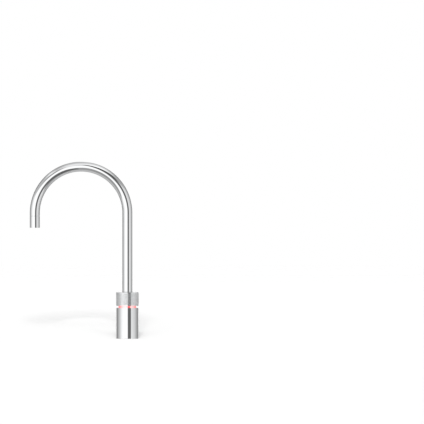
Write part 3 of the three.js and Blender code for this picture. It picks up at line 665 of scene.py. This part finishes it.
dress(
    "light_ring",
    turned_from(
        [
            (LIGHT_BORE_R, LIGHT_Z),
            (LIGHT_FLANGE_R, LIGHT_Z),
            (LIGHT_FLANGE_R, LIGHT_FLANGE_TOP_Z),
            (LIGHT_R, LIGHT_FLANGE_TOP_Z),
            (LIGHT_R, LIGHT_TOP_Z),
            (LIGHT_BORE_R, LIGHT_TOP_Z),
        ],
    ),
)


def knurled_ring(name):
    outline = rounded(
        [
            (KNURL_VALLEY_R, KNURL_Z[1]),
            (KNOB_R, KNURL_Z[1]),
            (KNOB_R, KNOB_TOP_Z),
            (KNOB_COUNTERBORE_R, KNOB_TOP_Z),
            (KNOB_COUNTERBORE_R, KNOB_COUNTERBORE_Z),
            (KNOB_HOLE_R, KNOB_COUNTERBORE_Z),
            (KNOB_HOLE_R, KNOB_WEB_Z),
            (KNOB_BORE_R, KNOB_WEB_Z),
            (KNOB_BORE_R, KNOB_Z),
            (KNOB_R, KNOB_Z),
            (KNOB_R, KNURL_Z[0]),
            (KNURL_VALLEY_R, KNURL_Z[0]),
        ],
        closed=False,
    )
    return turned(name, lambda angle: outline, 2 * KNURL_DIAMONDS, closed=False, extra=knurl())


dress("knurled_ring", knurled_ring)

# ---------------------------------------------------------------- spout and nozzle

dress("spout_tube", along_spout, SPOUT_R, SPOUT_BORE_R, SPOUT_FOOT_Z, SPOUT_END_Z)
dress("inner_hose", along_spout, HOSE_R, HOSE_BORE_R, HOSE_FOOT_Z, HOSE_END_Z, sides=32)
dress(
    "insulating_sleeve", along_spout, SLEEVE_R, SLEEVE_BORE_R, SLEEVE_FOOT_Z, SLEEVE_END_Z, sides=32
)

dress(
    "nozzle",
    turned_from(
        [
            (NOZZLE_POCKET_R, OUTLET_Z),
            (SPOUT_R, OUTLET_Z),
            (SPOUT_R, NOZZLE_TOP_Z),
            (NECK_R, NOZZLE_TOP_Z),
            (NECK_R, NECK_GROOVE_Z[0]),
            (NECK_GROOVE_R, NECK_GROOVE_Z[0]),
            (NECK_GROOVE_R, NECK_GROOVE_Z[1]),
            (NECK_R, NECK_GROOVE_Z[1]),
            (NECK_R, NECK_TOP_Z),
            (NECK_BORE_R, NECK_TOP_Z),
            (NECK_BORE_R, NOZZLE_SHOULDER_Z),
            (NOZZLE_POCKET_R, NOZZLE_SHOULDER_Z),
        ],
        radius=0.12,
        x=OUTLET_X,
    ),
)
dress("flow_straightener", perforated_disc, STRAIGHTENER_R, *STRAIGHTENER_Z, OUTLET_X)

# ---------------------------------------------------------------- springs

for node, spring, joint, travel in (
    ("return_spring", RETURN_SPRING, "handle_push", PUSH_TRAVEL),
    ("valve_spring", VALVE_SPRING, "valve_lift", VALVE_TRAVEL),
):
    obj = dress(node, coil, **spring)
    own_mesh(obj)

# ---------------------------------------------------------------- rings

for node, bore_r in RING_BORES.items():
    low, high = (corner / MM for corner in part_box(node))
    middle_x = round((low.x + high.x) / 2, 3)
    dress(node, turned_ring, bore_r, (high.x - low.x) / 2, low.z, high.z, x=middle_x)

for node, section_r in O_RING_SECTIONS.items():
    low, high = (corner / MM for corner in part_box(node))
    mean_r = (high.x - low.x) / 2 - section_r
    middle_z = (low.z + high.z) / 2
    outline = []
    for i in range(O_RING_FACETS):
        a = TAU * i / O_RING_FACETS
        outline.append((mean_r + section_r * math.cos(a), middle_z + section_r * math.sin(a)))
    dress(node, turned, lambda angle: outline, x=round((low.x + high.x) / 2, 3))

# ---------------------------------------------------------------- inner blocks and small pieces


def eased(name, node, break_width=0.08, shortest=0.03, flat=1, sharp=40):
    """A CAD node's own shape with smooth round sides, without edges too short to see, and with its
    sharp edges broken where break_width isn't 0. Flat and sharp are angles in degrees."""
    mesh = frame["nodes"][node].data
    points = [v.co / MM for v in mesh.vertices]
    obj = mesh_object(name, points, [tuple(face.vertices) for face in mesh.polygons])
    bm = bmesh.new()
    bm.from_mesh(obj.data)
    bmesh.ops.dissolve_limit(bm, angle_limit=math.radians(flat), verts=bm.verts, edges=bm.edges)
    bmesh.ops.dissolve_degenerate(bm, edges=bm.edges, dist=shortest * MM)
    if break_width:
        edges = [edge for edge in bm.edges if edge.calc_face_angle(0) > math.radians(sharp)]
        bmesh.ops.bevel(
            bm, geom=edges, offset=break_width * MM, segments=2, profile=0.5, affect="EDGES"
        )
    bm.to_mesh(obj.data)
    bm.free()
    obj.data.shade_smooth()
    obj.data.set_sharp_from_angle(angle=math.radians(sharp))
    return obj


for node in (
    "valve_housing",
    "valve_plug",
    "valve_pin",
    "riser_tube",
    "bearing_deck",
    "board_connector",
    "led_1",
    "led_2",
    "led_3",
    "led_4",
    "cam_sleeve",
    "knob_clip",
    "shank_bush",
):
    dress(node, eased, node)

# A bevel would run into itself between the splines.
dress("knob_carrier", eased, "knob_carrier", break_width=0)

# ---------------------------------------------------------------- below the worktop


def threaded_shank(name):
    root_r = SHANK_R - THREAD_DEPTH
    outline = rounded(
        [
            (root_r, SHANK_PLAIN_Z),
            (SHANK_R, SHANK_PLAIN_Z),
            (SHANK_R, SHANK_Z[1]),
            (SHANK_BORE_R, SHANK_Z[1]),
            (SHANK_BORE_R, SHANK_Z[0]),
            (root_r, SHANK_Z[0]),
        ],
        closed=False,
    )
    extra = thread(SHANK_R, SHANK_PITCH, SHANK_Z[0], SHANK_PLAIN_Z)
    return turned(name, lambda angle: outline, closed=False, extra=extra)


dress("threaded_shank", threaded_shank)


def fixing_nut(name):
    side = hexagon(NUT_FLATS, *NUT_Z)
    bore = [
        (NUT_BORE_R + NUT_CHAMFER, NUT_Z[1]),
        (NUT_BORE_R, NUT_Z[1] - NUT_CHAMFER),
        (NUT_BORE_R, NUT_Z[0] + NUT_CHAMFER),
        (NUT_BORE_R + NUT_CHAMFER, NUT_Z[0]),
    ]
    return turned(name, lambda angle: side(angle) + bore)


dress("fixing_nut", fixing_nut)


def inlet_nipple(name):
    root_r = NIPPLE_R - THREAD_DEPTH
    side = hexagon(NIPPLE_FLATS, NIPPLE_HEX_Z, NIPPLE_Z[1])
    bore = [
        (NIPPLE_SOCKET_R, NIPPLE_Z[1]),
        (NIPPLE_SOCKET_R, NIPPLE_SOCKET_Z),
        (NIPPLE_BORE_R, NIPPLE_SOCKET_Z),
        (NIPPLE_BORE_R, NIPPLE_Z[0]),
        (root_r, NIPPLE_Z[0]),
    ]
    extra = thread(NIPPLE_R, NIPPLE_PITCH, NIPPLE_Z[0], NIPPLE_HEX_Z)
    return turned(
        name, lambda angle: [(root_r, NIPPLE_HEX_Z), *side(angle), *bore], closed=False, extra=extra
    )


dress("inlet_nipple", inlet_nipple)

# ---------------------------------------------------------------- stage, light and camera

floor_mesh = bpy.data.meshes.new("floor")
quarters = ((-1, -1), (1, -1), (1, 1), (-1, 1))
corners = [(x * FLOOR_HALF, y * FLOOR_HALF, FLOOR_Z) for x, y in quarters]
floor_mesh.from_pydata(corners, [], [(0, 1, 2, 3)])
floor = bpy.data.objects.new("floor", floor_mesh)
bpy.context.scene.collection.objects.link(floor)
floor.visible_glossy = False


def floor_look():
    """Pale paper, which isn't seen from below and fades out far behind the tap. With the lamps of
    its own it ends in the white background, and it keeps the shadows."""
    material = bpy.data.materials.new("paper")
    material.use_nodes = True
    tree = material.node_tree
    tree.nodes.clear()
    place = add_node(tree, "TexCoord").outputs["Object"]
    behind = add_node(tree, "SeparateXYZ", {0: place}).outputs["Y"]
    fade = {"Value": behind, "From Min": FLOOR_FADE[0], "From Max": FLOOR_FADE[1]}
    faded = add_node(tree, "MapRange", fade).outputs["Result"]
    below = add_node(tree, "NewGeometry").outputs["Backfacing"]
    unseen = add_node(tree, "Math", {0: below, 1: faded}, operation="MAXIMUM").outputs[0]
    paper = add_node(tree, "BsdfDiffuse", {"Color": (PAPER, PAPER, PAPER, 1)}).outputs[0]
    clear = add_node(tree, "BsdfTransparent").outputs[0]
    shown = add_node(tree, "MixShader", {0: unseen, 1: paper, 2: clear}).outputs[0]
    add_node(tree, "OutputMaterial", {"Surface": shown})
    return material


floor_mesh.materials.append(floor_look())

# What polished metal reflects, as (angle in degrees, brightness) stops. HORIZON goes round the
# horizon, by the angle to the right of the photograph's viewpoint: a broad softbox to the left, a
# dark flag just right of the middle, a weaker softbox to the right, grey walls at the sides, and
# behind the tap narrow softboxes with dark flags between them. VEIL dims it above and below the
# softboxes. OVER goes over the tap, by the angle up from the viewpoint: the worktop's grey below
# and another softbox overhead, which LEAN varies by the angle to the right of straight up.
HORIZON = [
    (-180, 1), (-176, 1), (-174, 0.8), (-165, 0.8), (-162, 0.1), (-153, 0.1), (-150, 0.66),
    (-141, 0.66), (-138, 0.1), (-129, 0.1), (-126, 0.36), (-105, 0.46), (-80, 0.72), (-62, 0.98),
    (-45, 1.12), (3, 1.12), (6, 0.14), (37, 0.14), (40, 0.86), (80, 0.7), (112, 0.4), (126, 0.38),
    (129, 0.12), (138, 0.12), (141, 0.66), (150, 0.66), (153, 0.1), (162, 0.1), (165, 0.8),
    (174, 0.8), (176, 1), (180, 1),
]
VEIL = [
    (-180, 1), (-174, 0.52), (-95, 0.51), (-62, 0.52), (-42, 0.46), (-31, 0.26), (-20, 0.32),
    (-14, 0.85), (-8, 0.85), (0, 0.6), (4, 0.05), (41, 0.05), (45, 0.33), (70, 0.42), (172, 0.4),
    (176, 1),
]
OVER = [
    (-180, 1), (-176, 0.42), (-130, 0.45), (-112, 0.53), (-97, 0.58), (-81, 0.5), (-67, 0.35),
    (-25, 0.33), (0, 1), (30, 0.75), (48, 0.97), (60, 0.93), (81, 0.7), (97, 0.6), (116, 0.48),
    (174, 0.48), (178, 1),
]
LEAN = [
    (-180, 1), (-58, 1), (-39, 1.25), (-30, 0.72), (-18, 0.95), (0, 1), (20, 1.25), (30, 1.2),
    (44, 0.7), (180, 0.7),
]

# Where one of them gives way to the next, by how steeply a direction goes up, from -1 for straight
# down to 1 for straight up, or by how far it goes forward to the viewpoint.
PAST_BOXES = (0.36, 0.47)
BOX_SLANT = -0.1  # the softboxes are taller to the right
LOWER_TO_UPPER = (-0.1, 0.1)
VEILED_TO_OVERHEAD = (0.63, 0.74)
SHADED_TO_UNDERNEATH = (-0.82, -0.9)
SHADED_TO_BACK = (0.35, 0.1)


def studio():
    world = bpy.data.worlds.new("studio")
    world.use_nodes = True
    tree = world.node_tree

    def node(kind, *inputs, **settings):
        return add_node(tree, kind, enumerate(inputs), **settings)

    def math_node(operation, *inputs):
        return node("Math", *inputs, operation=operation).outputs[0]

    def brightness(rise, level, stops):
        """The stops' brightness at the angle whose sine is rise and whose cosine is level."""
        angle = math_node("ARCTAN2", rise, level)
        share = math_node("MULTIPLY_ADD", angle, 1 / TAU, 0.5)
        greys = [(degrees / 360 + 0.5, (value, value, value)) for degrees, value in stops]
        return colour_ramp(tree, share, greys)

    def over_span(value, span):
        """Goes from 0 to 1 while the value goes over the span."""
        return node("MapRange", value, *span, 0, 1).outputs[0]

    def mixed(factor, first, second):
        """The first colour where the factor is 0 and the second where it is 1."""
        inputs = {0: factor, 6: first, 7: second}
        return add_node(tree, "Mix", inputs, data_type="RGBA").outputs[2]

    direction = node("SeparateXYZ", node("TexCoord").outputs["Generated"]).outputs
    right, up = direction["X"], direction["Z"]
    forward = math_node("MULTIPLY", direction["Y"], -1)
    round_about = brightness(right, forward, HORIZON)
    over = brightness(up, forward, OVER)
    veiled = math_node("MINIMUM", round_about, brightness(right, forward, VEIL))
    overhead = math_node("MULTIPLY", over, brightness(right, up, LEAN))
    upper = mixed(over_span(up, VEILED_TO_OVERHEAD), veiled, overhead)
    underneath, back = over_span(up, SHADED_TO_UNDERNEATH), over_span(forward, SHADED_TO_BACK)
    shaded = math_node("MAXIMUM", math_node("MINIMUM", veiled, over), SHADE)
    lower = mixed(math_node("MAXIMUM", underneath, back), shaded, over)
    steep = math_node("MULTIPLY_ADD", right, BOX_SLANT, math_node("ABSOLUTE", up))
    past_boxes = mixed(over_span(up, LOWER_TO_UPPER), lower, upper)
    reflected = mixed(over_span(steep, PAST_BOXES), round_about, past_boxes)
    ray = node("LightPath").outputs
    sharp = math_node("MAXIMUM", ray["Is Glossy Ray"], ray["Is Transmission Ray"])
    lit = mixed(sharp, (SOFT_LIGHT, SOFT_LIGHT, SOFT_LIGHT, 1), reflected)
    shown = mixed(ray["Is Camera Ray"], lit, (1, 1, 1, 1))
    tree.links.new(shown, tree.nodes["Background"].inputs["Color"])
    return world


bpy.context.scene.world = studio()


def sun(name, energy, spread, elevation):
    """A lamp far behind the viewpoint, with its spread and elevation in degrees."""
    data = bpy.data.lights.new(name, "SUN")
    data.energy = energy
    data.angle = math.radians(spread)
    lamp = bpy.data.objects.new(name, data)
    lamp.rotation_euler = (math.radians(90 - elevation), 0, 0)
    lamp.visible_glossy = False
    bpy.context.scene.collection.objects.link(lamp)
    return lamp


sun("key", energy=0.8, spread=35, elevation=35)

# Low lamps for the floor alone: a narrow one lays the spout's long shadow behind the tap, and a
# wide one shades the floor beside the casing. Each gives the floor its share of white.
lit_floor = bpy.data.collections.new("lit_floor")
lit_floor.objects.link(floor)
for name, share, spread, elevation in (
    ("long_shadow", 0.38, 3.4, 8.6),
    ("near_shadow", 0.245, 16, 9),
):
    energy = share * math.pi / PAPER / math.sin(math.radians(elevation))
    sun(name, energy, spread, elevation).light_linking.receiver_collection = lit_floor

camera_data = bpy.data.cameras.new("camera")
camera_data.sensor_width = 36
camera_data.lens = camera_data.sensor_width / 2 / math.tan(VIEW_HALF_ANGLE)
camera_data.clip_end = 100
camera = bpy.data.objects.new("camera", camera_data)
distance = VIEW_HALF_WIDTH / math.tan(VIEW_HALF_ANGLE)
back = Vector((0, -math.cos(VIEW_ELEVATION), math.sin(VIEW_ELEVATION)))
camera.location = (Vector(VIEW_CENTRE) + distance * back) * MM
camera.rotation_mode = "QUATERNION"
camera.rotation_quaternion = (-back).to_track_quat("-Z", "Y")
bpy.context.scene.collection.objects.link(camera)
bpy.context.scene.camera = camera
bpy.context.scene.view_settings.view_transform = "Standard"
